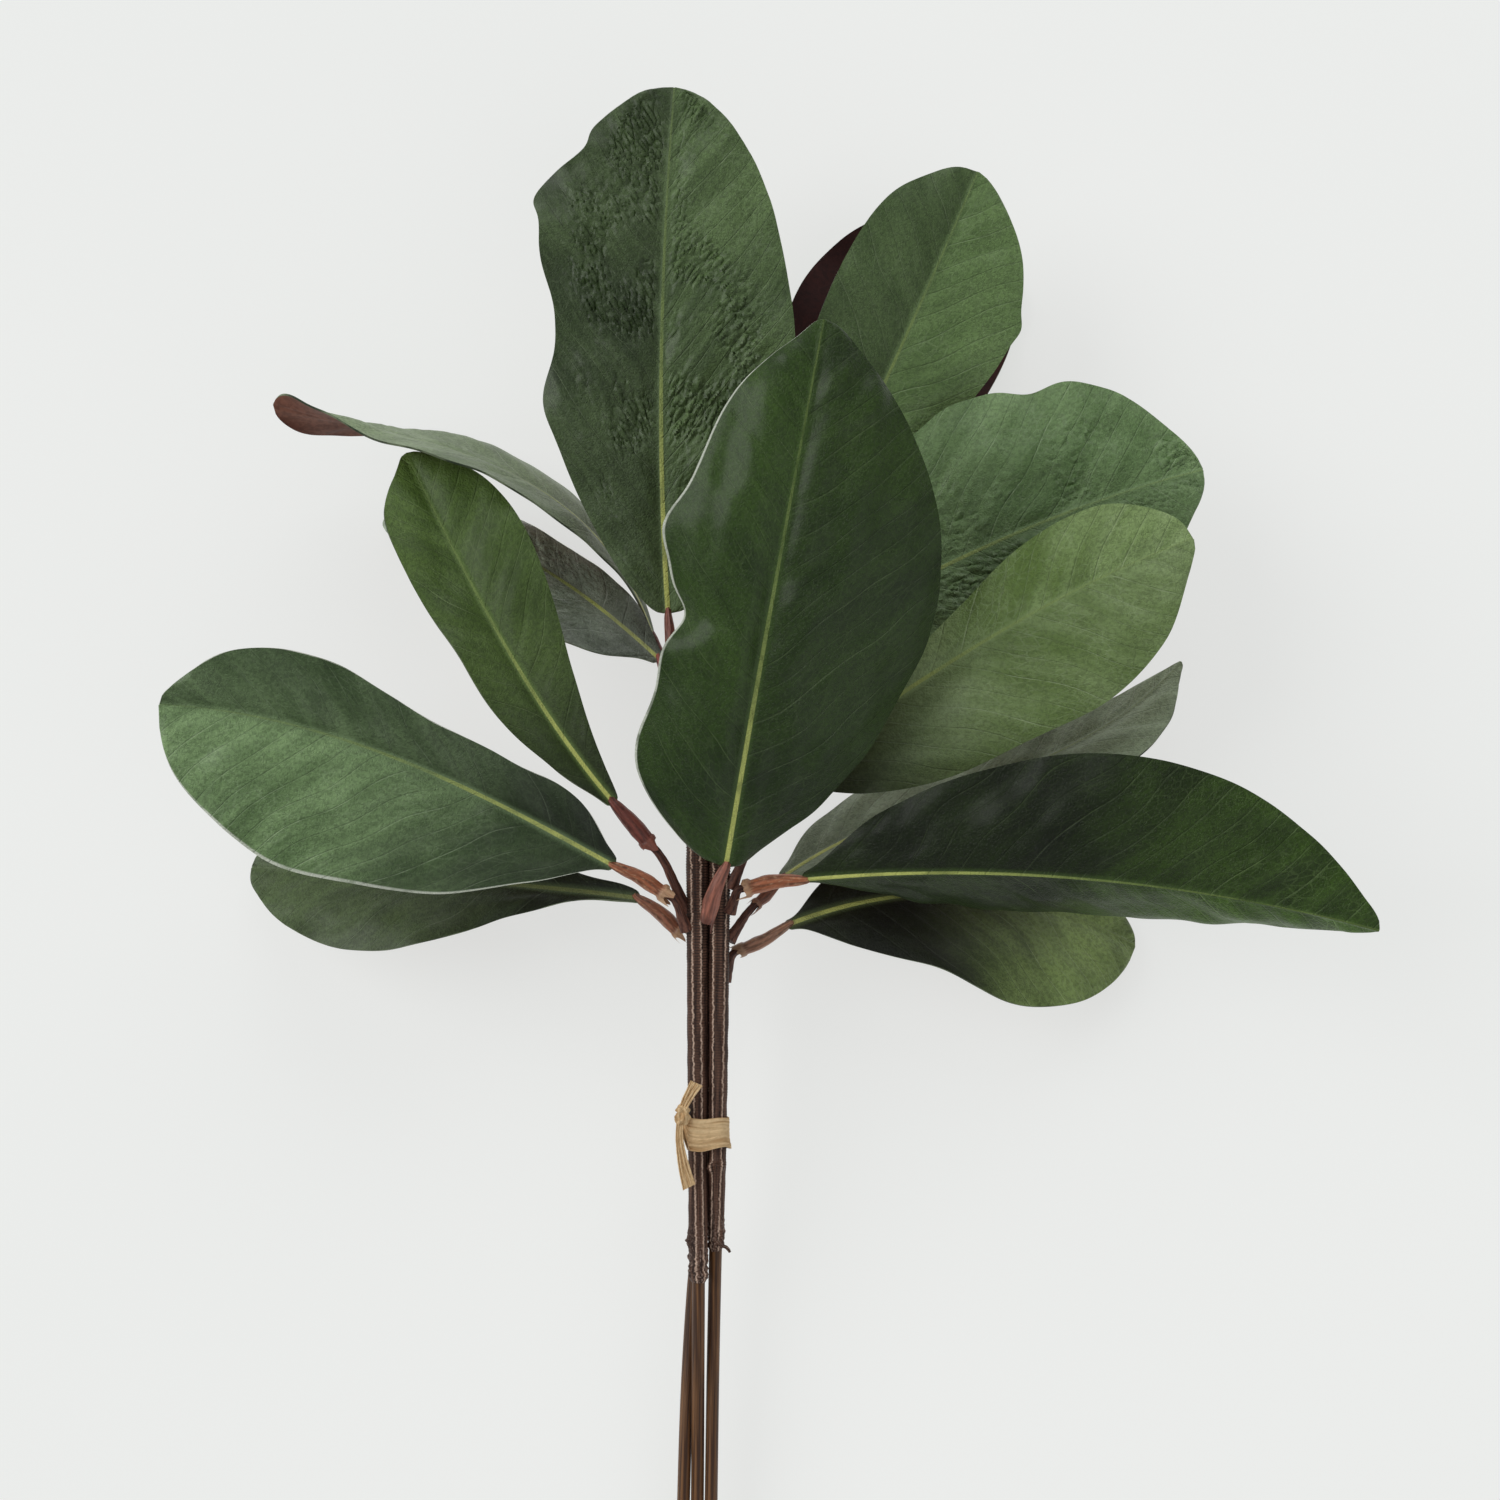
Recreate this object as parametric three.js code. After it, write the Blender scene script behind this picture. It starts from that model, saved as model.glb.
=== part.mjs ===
// Magnolia leaf bundle: three taped wire stems, fourteen leaves on short
// petioles and thin twigs, tied with a flat paper ribbon.
// Millimetres, +Z up. The bundle lies on its back: leaf tips toward +Y,
// cut wire ends toward -Y, the good side of the leaves up.
import * as THREE from "three";

// ---- driving dimensions (mm) ----
const LEAN = 8.5;            // degrees the bundle's axis rises toward the tips
const WIRE_R = 2.2;          // bare coated wire
const WRAP_BORE_R = 2.5;     // tape tube, clear of the wire all round
const TWIG_R = 1.5;
const PETIOLE_R = 2.4;       // moulded sleeve at the foot of each leaf
const PETIOLE_TIP_R = 1.5;
const LEAF_T = 1.0;          // blade thickness
const LEAF_ROWS = 12;
const LEAF_COLS = 6;
const GAP = 0.3;             // between pieces that touch
const RIB_HALF = 1.6;        // blade half width where it leaves the petiole
const TIE_LENGTH = 12.5;     // ribbon band along the stems
const TIE_T = 0.9;

const COLORS = {
  leaf: 0x2f4a2c, petiole: 0x7a3b2c, twig: 0x4a2c22,
  wire: 0x6a4a38, wrap: 0x5a463a, tie: 0xc0a070,
};

// Stem centre lines in the bundle's own frame: origin in the tie, x across,
// y toward the tips, z toward the good side. Last point is the upper end.
const STEMS = {
  left: {
    wire: [[-4.6, -225, -2.6], [-3.9, -124, -1.2], [-3.4, -56, 0], [-3.75, 0, 0], [-3.75, 97, 0]],
    wrapFrom: -50, wrapTo: 100, wrapR: 3.25,
  },
  right: {
    wire: [[0.1, -225, -2.6], [0.8, -124, -1.2], [2, -56, -4], [3.1, 0, 0], [3.75, 95, 0]],
    wrapFrom: -40, wrapTo: 98, wrapR: 2.9,
  },
  rear: {
    wire: [[-9.3, -225, -2.6], [-8.6, -124, -1.2], [-5.5, -56, -7], [0, 0, -6.8], [0.2, 93, -7.6]],
    wrapFrom: -45, wrapTo: 96, wrapR: 3,
  },
};

// One row per leaf. base/tip of the midrib, the way the upper face looks,
// rise = bow of the midrib toward the face, sway = bow sideways,
// left/right = half widths at seven stations from foot to tip,
// fold and curl = degrees each half is lifted and rolled, twist from foot to tip.
// from = where its twig leaves the wrap, joint = where the petiole starts.
const LEAVES = {
  leaf_top: {
    base: [-14, 178, -6], tip: [-12, 359, -12], face: [0.05, -0.05, 1],
    rise: [6, 8], sway: [-5, -4], fold: [6, 6], curl: [-14, -14],
    left: [10, 22, 34, 36, 43, 35, 17], right: [14, 33, 44, 46, 41, 31, 16],
    from: [-5.4, 102, 0.8], joint: [-12, 158, -5],
  },
  leaf_front: {
    base: [6, 92, 14], tip: [38, 270, 44], face: [0.05, 0.1, 1],
    rise: [14, 22], sway: [-1, -1], fold: [6, 6], curl: [-34, -34],
    left: [18, 35, 34, 35, 33, 25, 8], right: [11, 30, 46, 55, 51, 35, 14],
    from: null, joint: [-0.5, 73, 7.4],
  },
  leaf_upper_right: {
    base: [28, 188, -22], tip: [94, 334, -30], face: [0.25, 0.1, 1],
    rise: [6, 8], sway: [0, 0], fold: [8, 8], curl: [-16, -16],
    left: [5, 13, 22, 30, 31, 26, 13], right: [5, 13, 23, 30, 35, 28, 12],
    from: [2.6, 100, -1.6], joint: [22, 170, -19],
  },
  leaf_back: {
    base: [49, 209, -34], tip: [79, 332, -86.1], face: [0, 0.1, -1],
    rise: [8, 10], sway: [0, 0], fold: [8, 8], curl: [-20, -20],
    left: [8, 18, 30, 38, 43, 40, 20], right: [8, 17, 29, 39, 38, 28, 13],
    from: [2.6, 98, -8], joint: [42, 191, -31],
  },
  leaf_right_upper: {
    base: [31, 167, -16], tip: [171, 228, -18], face: [-0.05, 0.1, 1],
    rise: [6, 10], sway: [-6, -7], fold: [4, 10], curl: [-14, -20],
    left: [12, 27, 41, 48, 50, 37, 16], right: [10, 26, 36, 38, 36, 27, 12],
    from: [5.6, 100, 1.2], joint: [22, 151, -12],
  },
  leaf_right_middle: {
    base: [23, 121, 0], tip: [163, 202, 10], face: [-0.1, 0.25, 1],
    rise: [6, 10], sway: [-3, -7], fold: [25, 4], curl: [-18, -18],
    left: [3, 5, 7, 14, 22, 22, 12], right: [8, 22, 33, 37, 38, 29, 11],
    from: [8.4, 86, 1], joint: [15.5, 103, 1],
  },
  leaf_right_rear: {
    base: [25, 87, -8], tip: [167, 162, -38], face: [-0.4, 0.9, 0.7],
    rise: [4, -14], sway: [-6, 14], fold: [8, 8], curl: [-16, -16],
    left: [6, 16, 24, 25, 19, 11, 4], right: [6, 18, 30, 32, 27, 18, 5],
    from: [8.2, 68, -2.6], joint: [16, 78, -6],
  },
  leaf_right_front: {
    base: [32, 87, 8], tip: [220, 72, 34], face: [0, -0.15, 1],
    rise: [14, 10], sway: [-14, -13], fold: [6, -45], curl: [-20, -20],
    left: [6, 21, 34, 42, 39, 25, 9], right: [4, 18, 28, 29, 23, 14, 6],
    from: [7.9, 78, 3], joint: [12.5, 84, 5],
  },
  leaf_right_low: {
    base: [27, 71, -6], tip: [151, 61, -43.3], face: [0.1, 0.5, 0.8],
    rise: [6, 8], sway: [-18, -18], fold: [8, 8], curl: [-16, -16],
    left: [3, 12, 20, 26, 26, 20, 9], right: [4, 15, 26, 36, 41, 34, 19],
    from: [6, 54, -9.6], joint: [10.5, 62, -8.5],
  },
  leaf_left_front: {
    base: [-32, 92, 8], tip: [-180, 146, 30], face: [-0.1, 0.2, 1],
    rise: [8, 10], sway: [8, 15], fold: [4, 35], curl: [-16, -10],
    left: [5, 19, 36, 44, 46, 36, 22], right: [6, 15, 16, 18, 25, 23, 9],
    from: [-8.2, 72, 3], joint: [-14.5, 82, 6],
  },
  leaf_left_low: {
    base: [-24, 80, -6], tip: [-163, 89, -42], face: [0, 0.4, 0.9],
    rise: [8, 0], sway: [0, 0], fold: [20, 20], curl: [-20, -20],
    left: [2, 4, 13, 27, 30, 23, 11], right: [4, 6, 14, 26, 30, 24, 11],
    from: null, joint: [-9.6, 68, -5.5],
  },
  leaf_left_middle: {
    base: [-32, 113, 6], tip: [-105, 233, -14], face: [0.2, 0.15, 1],
    rise: [4, 6], sway: [-9, -4], fold: [25, 20], curl: [-15, -15],
    left: [4, 10, 16, 18, 20, 18, 6], right: [4, 8, 15, 22, 25, 21, 9],
    from: [-8.4, 78, 0], joint: [-20, 99, 4],
  },
  leaf_left_edge: {
    base: [-20, 171, -31], tip: [-153, 252, -28], face: [0.1, 1, 0.25],
    rise: [45, 15], sway: [0, 0], fold: [8, 8], curl: [-16, -16],
    left: [3, 7, 16, 26, 22, 14, 8], right: [5, 14, 26, 32, 30, 24, 12],
    twist: [0, 60, 8],
    from: [-1.6, 98, -8.6], joint: [-13, 152, -23],
  },
  leaf_left_rear: {
    base: [-17, 162, -11], tip: [-118, 217, -69.6], face: [0.1, 0.9, 0.9],
    rise: [18, 18], sway: [0, 0], fold: [8, 8], curl: [-16, -16],
    left: [6, 19, 26, 25, 20, 15, 8], right: [4, 11, 15, 15, 13, 12, 7],
    from: [-2.6, 102, -1.4], joint: [-9, 143, -8],
  },
};

// Ribbon knot and its two loose ends, in the bundle's own frame.
const KNOT = [-9.2, 7.6, 5.1];
const TAILS = {
  tie_tail_upper: {
    start: [-8.3, 11.9, 5.6], end: [-4.1, 18.2, 5.6], across: [0.83, -0.56, 0],
    width: [2.6, 4.6], bow: 0.5, pleat: 0.4,
  },
  tie_tail_lower: {
    start: [-9.9, 3.2, 5.6], end: [-6.5, -16.7, 5.8], across: [-0.97, -0.22, 0],
    width: [2.4, 4.6], bow: 0.5, pleat: 0.4,
  },
};

const RAD = Math.PI / 180;
const vec = (p) => new THREE.Vector3(...p);

const bundle = new THREE.Group();
bundle.name = "magnolia_leaf_bundle";

function add(name, geometry, color) {
  const material = new THREE.MeshStandardMaterial({ name, color, roughness: 0.6, metalness: 0 });
  const mesh = new THREE.Mesh(geometry, material);
  mesh.name = name;
  bundle.add(mesh);
}

// Round bar, or tube when bore > 0, along a smooth curve through the points.
function rod(points, radius, bore, steps, sides) {
  const shape = new THREE.Shape().absarc(0, 0, radius, 0, 2 * Math.PI);
  if (bore > 0) shape.holes.push(new THREE.Path().absarc(0, 0, bore, 0, 2 * Math.PI, true));
  const path = new THREE.CatmullRomCurve3(points.map(vec));
  return new THREE.ExtrudeGeometry(shape, {
    steps, extrudePath: path, curveSegments: sides, bevelEnabled: false,
  });
}

// Closed sheet: at(s, v) gives a point of its middle surface, s and v along
// and across. The two skins lie a thickness apart and join round the rim.
function sheet(at, rows, cols, thickness, spacing) {
  const points = [];
  const e = 0.01;
  for (const h of [thickness / 2, -thickness / 2]) {
    for (let i = 0; i <= rows; i += 1) {
      for (let j = 0; j <= cols; j += 1) {
        const s = spacing(i / rows);
        const v = (2 * j) / cols - 1;
        const ds = at(Math.min(s + e, 1), v).sub(at(Math.max(s - e, 0), v));
        const dv = at(s, Math.min(v + e, 1)).sub(at(s, Math.max(v - e, -1)));
        const p = at(s, v).addScaledVector(dv.cross(ds).normalize(), h);
        points.push(p.x, p.y, p.z);
      }
    }
  }
  const faces = [];
  const n = cols + 1;
  const under = n * (rows + 1);
  const quad = (a, b, c, d) => faces.push(a, b, c, a, c, d);
  for (let i = 0; i < rows; i += 1) {
    for (let j = 0; j < cols; j += 1) {
      const a = i * n + j;
      quad(a, a + 1, a + 1 + n, a + n);
      quad(under + a, under + a + n, under + a + 1 + n, under + a + 1);
    }
    const l = i * n;
    const r = l + cols;
    quad(l, l + n, under + l + n, under + l);
    quad(r, under + r, under + r + n, r + n);
  }
  for (let j = 0; j < cols; j += 1) {
    const t = rows * n + j;
    quad(j, under + j, under + j + 1, j + 1);
    quad(t, t + 1, under + t + 1, under + t);
  }
  const g = new THREE.BufferGeometry();
  g.setAttribute("position", new THREE.Float32BufferAttribute(points, 3));
  g.setIndex(faces);
  g.computeVertexNormals();
  return g;
}

// ---- wire stems and the tape round them ----
for (const [name, stem] of Object.entries(STEMS)) {
  add(`stem_${name}`, rod(stem.wire, WIRE_R, 0, 20, 6), COLORS.wire);
  const line = new THREE.CatmullRomCurve3(stem.wire.map(vec));
  const top = stem.wire[stem.wire.length - 1];
  const spine = [];
  for (let k = 0; k <= 8; k += 1) {
    const y = stem.wrapFrom + ((top[1] - stem.wrapFrom) * k) / 8;
    let [low, high] = [0, 1];
    for (let turn = 0; turn < 30; turn += 1) {
      const mid = (low + high) / 2;
      if (line.getPoint(mid).y < y) low = mid; else high = mid;
    }
    spine.push(line.getPoint(low).toArray());
  }
  spine.push([top[0], stem.wrapTo, top[2]]);
  add(`wrap_${name}`, rod(spine, stem.wrapR, WRAP_BORE_R, 14, 6), COLORS.wrap);
}

// ---- leaves ----
// Half width at s (0 foot, 1 tip) through the seven stations, spaced like the
// cosine of an even angle so that both ends come out round.
function halfWidth(stations, s) {
  const w = [RIB_HALF, ...stations, 0];
  const x = (Math.acos(1 - 2 * s) / Math.PI) * 8;
  const i = Math.min(7, Math.floor(x));
  const u = x - i;
  const before = i > 0 ? w[i - 1] : 2 * w[0] - w[1];
  const after = i < 7 ? w[i + 2] : -w[7];
  const bend = 2 * before - 5 * w[i] + 4 * w[i + 1] - after;
  const jerk = 3 * w[i] - before - 3 * w[i + 1] + after;
  const width = w[i] + ((w[i + 1] - before) * u + bend * u * u + jerk * u ** 3) / 2;
  return Math.max(width, 0.7);
}

// Middle surface of a blade at s along the midrib and v across (-1 to 1).
function blade(leaf) {
  const base = vec(leaf.base);
  const tip = vec(leaf.tip);
  const chord = tip.clone().sub(base);
  const along = chord.clone().normalize();
  const face = vec(leaf.face);
  face.addScaledVector(along, -face.dot(along)).normalize();
  const side = along.clone().cross(face);
  const bowed = (k, i) => base.clone().addScaledVector(chord, k)
    .addScaledVector(face, leaf.rise[i]).addScaledVector(side, leaf.sway[i]);
  const rib = new THREE.CubicBezierCurve3(base, bowed(1 / 3, 0), bowed(2 / 3, 1), tip);
  const [twistStart, twistEnd, twistPower] = leaf.twist ?? [0, 0, 1];
  return (s, v) => {
    const t = rib.getTangent(s);
    const n = face.clone().addScaledVector(t, -face.dot(t)).normalize();
    const b = t.clone().cross(n);
    const turn = (twistStart + (twistEnd - twistStart) * s ** twistPower) * RAD;
    const up = n.clone().multiplyScalar(Math.cos(turn)).addScaledVector(b, Math.sin(turn));
    const out = b.clone().multiplyScalar(Math.cos(turn)).addScaledVector(n, -Math.sin(turn));
    const k = v < 0 ? 0 : 1;
    const w = halfWidth(v < 0 ? leaf.left : leaf.right, s);
    const fold = leaf.fold[k] * RAD;
    const curl = leaf.curl[k] * RAD;
    const a = fold + curl * Math.abs(v);
    return rib.getPoint(s)
      .addScaledVector(out, (Math.sign(v) * w * (Math.sin(a) - Math.sin(fold))) / curl)
      .addScaledVector(up, (w * (Math.cos(fold) - Math.cos(a))) / curl);
  };
}

// Turned sleeve between two points: collar, neck, swelling, taper.
function petiole(from, to) {
  const length = from.distanceTo(to);
  const profile = [
    [0, 0], [PETIOLE_R, 0], [PETIOLE_R + 0.4, 0.08], [PETIOLE_R - 0.4, 0.14],
    [PETIOLE_R, 0.5], [PETIOLE_TIP_R, 1], [0, 1],
  ].map(([r, h]) => new THREE.Vector2(r, h * length));
  const g = new THREE.LatheGeometry(profile, 10);
  const axis = to.clone().sub(from).normalize();
  g.applyQuaternion(new THREE.Quaternion().setFromUnitVectors(new THREE.Vector3(0, 1, 0), axis));
  return g.translate(from.x, from.y, from.z);
}

const cosineSpacing = (t) => (1 - Math.cos(Math.PI * t)) / 2;
for (const [name, leaf] of Object.entries(LEAVES)) {
  const tail = name.replace("leaf_", "");
  add(name, sheet(blade(leaf), LEAF_ROWS, LEAF_COLS, LEAF_T, cosineSpacing), COLORS.leaf);
  const joint = vec(leaf.joint);
  const foot = vec(leaf.base);
  foot.addScaledVector(foot.clone().sub(joint).normalize(), -GAP - LEAF_T);
  add(`petiole_${tail}`, petiole(joint, foot), COLORS.petiole);
  if (leaf.from) {
    const run = foot.clone().sub(joint).normalize();
    const end = joint.clone().addScaledVector(run, -GAP);
    const bend = end.clone().addScaledVector(run, -0.3 * end.distanceTo(vec(leaf.from)));
    const twig = [leaf.from, bend.toArray(), end.toArray()];
    add(`twig_${tail}`, rod(twig, TWIG_R, 0, 6, 4), COLORS.twig);
  }
}

// ---- ribbon tie ----
// The band hugs the three wraps where they cross y = 0.
const held = Object.values(STEMS).map((stem) => [stem.wire[3][0], stem.wire[3][2], stem.wrapR]);
function hug(offset, steps) {
  const ring = [];
  for (let k = 0; k < steps; k += 1) {
    const a = (2 * Math.PI * (k + 0.5)) / steps;
    const d = [Math.cos(a), Math.sin(a)];
    const reach = (p) => p[0] * d[0] + p[1] * d[1] + p[2];
    const far = held.reduce((p, q) => (reach(q) > reach(p) ? q : p));
    const out = far[2] + offset;
    ring.push(new THREE.Vector2(far[0] + d[0] * out, far[1] + d[1] * out));
  }
  return ring;
}
const band = new THREE.Shape(hug(2 * GAP + TIE_T, 24));
band.holes.push(new THREE.Path(hug(2 * GAP, 24).reverse()));
const bandGeometry = new THREE.ExtrudeGeometry(band, { depth: TIE_LENGTH, bevelEnabled: false });
bandGeometry.rotateX(Math.PI / 2).translate(0, TIE_LENGTH / 2, 0);
add("tie_band", bandGeometry, COLORS.tie);

const knot = new THREE.SphereGeometry(1, 12, 8).scale(2.2, 3.6, 2.2).rotateZ(0.2);
add("tie_knot", knot.translate(...KNOT), COLORS.tie);

for (const [name, tail] of Object.entries(TAILS)) {
  const start = vec(tail.start);
  const run = vec(tail.end).sub(start);
  const across = vec(tail.across);
  const strip = (s, v) => start.clone().addScaledVector(run, s)
    .addScaledVector(across, (v * (tail.width[0] + (tail.width[1] - tail.width[0]) * s)) / 2)
    .add(new THREE.Vector3(0, 0, tail.bow * Math.sin(Math.PI * s) - tail.pleat * v * v));
  add(name, sheet(strip, 6, 4, TIE_T, (t) => t), COLORS.tie);
}

// The whole bundle settles on its back, with its box centred over the origin.
bundle.rotation.x = LEAN * RAD;
bundle.updateMatrixWorld(true);
const box = new THREE.Box3().setFromObject(bundle, true);
const centre = box.getCenter(new THREE.Vector3());
bundle.position.set(-centre.x, -centre.y, -box.min.z);
bundle.updateMatrixWorld(true);

export default bundle;
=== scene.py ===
import math

import bpy
import numpy
from mathutils import Matrix, Vector, noise


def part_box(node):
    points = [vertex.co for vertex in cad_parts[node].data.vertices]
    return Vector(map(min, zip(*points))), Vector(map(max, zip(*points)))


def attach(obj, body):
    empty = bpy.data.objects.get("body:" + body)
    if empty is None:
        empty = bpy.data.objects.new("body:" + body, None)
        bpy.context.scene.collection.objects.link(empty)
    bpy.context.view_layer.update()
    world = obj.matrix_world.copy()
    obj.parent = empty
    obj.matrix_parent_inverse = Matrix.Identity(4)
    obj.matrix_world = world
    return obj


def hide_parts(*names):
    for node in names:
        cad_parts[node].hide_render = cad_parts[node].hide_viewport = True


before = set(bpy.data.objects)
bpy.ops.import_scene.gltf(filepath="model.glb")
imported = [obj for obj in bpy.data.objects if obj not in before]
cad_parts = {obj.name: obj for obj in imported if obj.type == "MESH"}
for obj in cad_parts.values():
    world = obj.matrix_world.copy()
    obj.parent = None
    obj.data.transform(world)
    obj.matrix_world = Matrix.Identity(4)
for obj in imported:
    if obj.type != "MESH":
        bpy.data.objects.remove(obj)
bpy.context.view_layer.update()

# Camera. The bundle is drawn in its own frame, in millimetres: origin in the tie, x across, y toward
# the leaf tips, z out of the good side. It lies on its back, so its axis rises a little toward the
# tips, and the camera looks straight down that frame's z.
LEAN = math.radians(8.5)
TIE_MIDDLE = Vector((-0.4975, 0, -3.2764))
EYE = Vector((14.1, 130.9, 900))
LENS = 63.5

low, high = (Vector(corner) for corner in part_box("tie_band"))
place = (
    Matrix.Translation((low + high) / 2)
    @ Matrix.Rotation(LEAN, 4, "X")
    @ Matrix.Scale(0.001, 4)
    @ Matrix.Translation(-TIE_MIDDLE)
)
bpy.ops.object.camera_add(location=place @ EYE, rotation=(LEAN, 0, 0))
camera = bpy.context.object
camera.data.lens = LENS
camera.data.sensor_width = 36
bpy.context.scene.camera = camera


# Stage: a plain pale floor that glows a little, so that shadows stay light, and three broad
# studio lights, of which the left one gives the leaves their sheen.
def shade(red, green, blue):
    """Linear colour of an sRGB one given as 0 to 255."""
    return tuple(
        (c / 12.92 if c <= 0.04045 else ((c + 0.055) / 1.055) ** 2.4)
        for c in (red / 255, green / 255, blue / 255)
    ) + (1.0,)


def node(tree, kind, inputs=None, **settings):
    """A new shader node with its settings, and its inputs linked or set."""
    made = tree.nodes.new("ShaderNode" + kind)
    for key, value in settings.items():
        setattr(made, key, value)
    for key, value in (inputs or {}).items():
        if isinstance(value, bpy.types.NodeSocket):
            tree.links.new(value, made.inputs[key])
        else:
            made.inputs[key].default_value = value
    return made


def finish(name, roughness, specular=0.5):
    """A new material: its tree and its main shader."""
    material = bpy.data.materials.new(name)
    material.use_nodes = True
    shader = material.node_tree.nodes["Principled BSDF"]
    shader.inputs["Roughness"].default_value = roughness
    shader.inputs["Specular IOR Level"].default_value = specular
    return material, material.node_tree, shader


def mixed(tree, factor, first, second):
    """Colour between two colours or colour sockets."""
    made = node(tree, "Mix", {0: factor, 6: first, 7: second}, data_type="RGBA")
    return made.outputs[2]


def grain(tree, vector, scale, detail=3, distortion=0.0):
    """Noise from 0 to 1 over a vector."""
    made = node(tree, "TexNoise", {
        "Vector": vector, "Scale": scale, "Detail": detail, "Distortion": distortion,
    })
    return made.outputs["Fac"]


FLOOR_SIDE = 24.0
FLOOR_DROP = 0.0002
FLOOR_GLOW = 0.76
WORLD_LIGHT = 0.24
bpy.ops.object.select_all(action="DESELECT")
bpy.ops.mesh.primitive_plane_add(size=FLOOR_SIDE, location=(0, 0, -FLOOR_DROP))
floor = bpy.context.object
floor.name = "floor"
paper, tree, shader = finish("pale_floor", 0.9, 0.1)
tint = grain(tree, node(tree, "TexCoord").outputs["Object"], 2)
pale = mixed(tree, tint, shade(232, 234, 232), shade(238, 239, 237))
tree.links.new(pale, shader.inputs["Emission Color"])
shader.inputs["Emission Strength"].default_value = FLOOR_GLOW
shader.inputs["Base Color"].default_value = shade(146, 147, 146)
floor.data.materials.append(paper)

world = bpy.data.worlds.new("studio")
world.use_nodes = True
world.node_tree.nodes["Background"].inputs["Color"].default_value = (0.98, 0.99, 1.0, 1)
world.node_tree.nodes["Background"].inputs["Strength"].default_value = WORLD_LIGHT
bpy.context.scene.world = world
for name, toward, width, power in (  # direction, breadth in degrees, strength
    ("left_window", (-0.9, 0.25, 0.8), 44, 1.2),
    ("top_window", (0.15, 0.95, 0.6), 50, 0.7),
    ("low_window", (0.55, -0.7, 0.8), 60, 0.4),
):
    bpy.ops.object.light_add(type="SUN", location=Vector(toward) * 2)
    lamp = bpy.context.object
    lamp.name = name
    lamp.rotation_euler = (-Vector(toward)).to_track_quat("-Z", "Y").to_euler()
    lamp.data.angle = math.radians(width)
    lamp.data.energy = power
bpy.context.scene.view_settings.view_transform = "Standard"


# Wire stems. Three steel wires in a smooth brown plastic coat, cut square at the foot.
# They run up inside the tape and on past the tie, side by side.
WIRE_RADIUS = 2.2
LINE_STEPS = 200  # a rolled piece's middle line is cut this fine
SMOOTH_BELOW = math.radians(50)  # sharper edges stay sharp
STEMS = {
    "left": [(-4.6, -225, -2.6), (-3.9, -124, -1.2), (-3.4, -56, 0), (-3.75, 0, 0), (-3.75, 97, 0)],
    "right": [(0.1, -225, -2.6), (0.8, -124, -1.2), (2, -56, -4), (3.1, 0, 0), (3.75, 95, 0)],
    "rear": [(-9.3, -225, -2.6), (-8.6, -124, -1.2), (-5.5, -56, -7), (0, 0, -6.8),
             (0.2, 93, -7.6)],
}


def line_through(points, count):
    """count + 1 evenly spaced points on a smooth line through the given points."""
    ends = [Vector(p) for p in points]
    ends = [2 * ends[0] - ends[1], *ends, 2 * ends[-1] - ends[-2]]
    fine = []
    for a, b, c, d in zip(ends, ends[1:], ends[2:], ends[3:]):
        for step in range(30):
            u = step / 30
            fine.append((2 * b + (c - a) * u + (2 * a - 5 * b + 4 * c - d) * u ** 2
                         + (3 * b - a - 3 * c + d) * u ** 3) / 2)
    fine.append(ends[-2])
    gone = numpy.cumsum([0] + [(q - p).length for p, q in zip(fine, fine[1:])])
    wanted = numpy.linspace(0, gone[-1], count + 1)
    spots = numpy.array([list(p) for p in fine])
    columns = [numpy.interp(wanted, gone, spots[:, axis]) for axis in range(3)]
    return [Vector(p) for p in zip(*columns)]


def grid(name, across, along, chart):
    """A flat grid one unit wide and long with a UV map, alone in the selection."""
    bpy.ops.object.select_all(action="DESELECT")
    bpy.ops.mesh.primitive_grid_add(x_subdivisions=across, y_subdivisions=along, size=1)
    piece = bpy.context.object
    piece.name = piece.data.name = name
    piece.data.uv_layers[0].name = chart
    return piece


def rolled(name, points, outline, rings, sides):
    """A grid rolled round the smooth line through points, its seam at the back, its ends shut.
    outline(t, angle) gives how far along the line, from 0 to 1, and how far out, in
    millimetres, ring t goes; the angle is 0 at the right and a quarter turn at the front."""
    piece = grid(name, sides, rings, "around")
    line = line_through(points, LINE_STEPS)
    for vertex in piece.data.vertices:
        angle = 2 * math.pi * (vertex.co.x + 0.5) - math.pi / 2
        along, radius = outline(vertex.co.y + 0.5, angle)
        spot = min(max(along, 0), 1) * LINE_STEPS
        low = min(int(spot), LINE_STEPS - 1)
        run = (line[min(low + 2, LINE_STEPS)] - line[max(low - 1, 0)]).normalized()
        right = run.cross(Vector((0, 0, 1))).normalized()
        out = right * math.cos(angle) + right.cross(run) * math.sin(angle)
        middle = line[low].lerp(line[low + 1], spot - low)
        vertex.co = middle + run * (along * LINE_STEPS - spot) + out * radius
    bpy.ops.object.mode_set(mode="EDIT")
    bpy.ops.mesh.select_all(action="SELECT")
    bpy.ops.mesh.remove_doubles(threshold=0.0005)
    bpy.ops.mesh.fill_holes(sides=0)
    bpy.ops.mesh.normals_make_consistent(inside=False)
    bpy.ops.object.mode_set(mode="OBJECT")
    return piece


def settle(piece, node_name, slot, *materials):
    """The piece goes to its place in the row, gets its finish and takes over from its solid."""
    piece.data.transform(place)
    for material in materials:
        piece.data.materials.append(material)
    bpy.ops.object.select_all(action="DESELECT")
    piece.select_set(True)
    bpy.context.view_layer.objects.active = piece
    bpy.ops.object.shade_smooth_by_angle(angle=SMOOTH_BELOW)
    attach(piece, "root")
    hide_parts(node_name)


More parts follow.
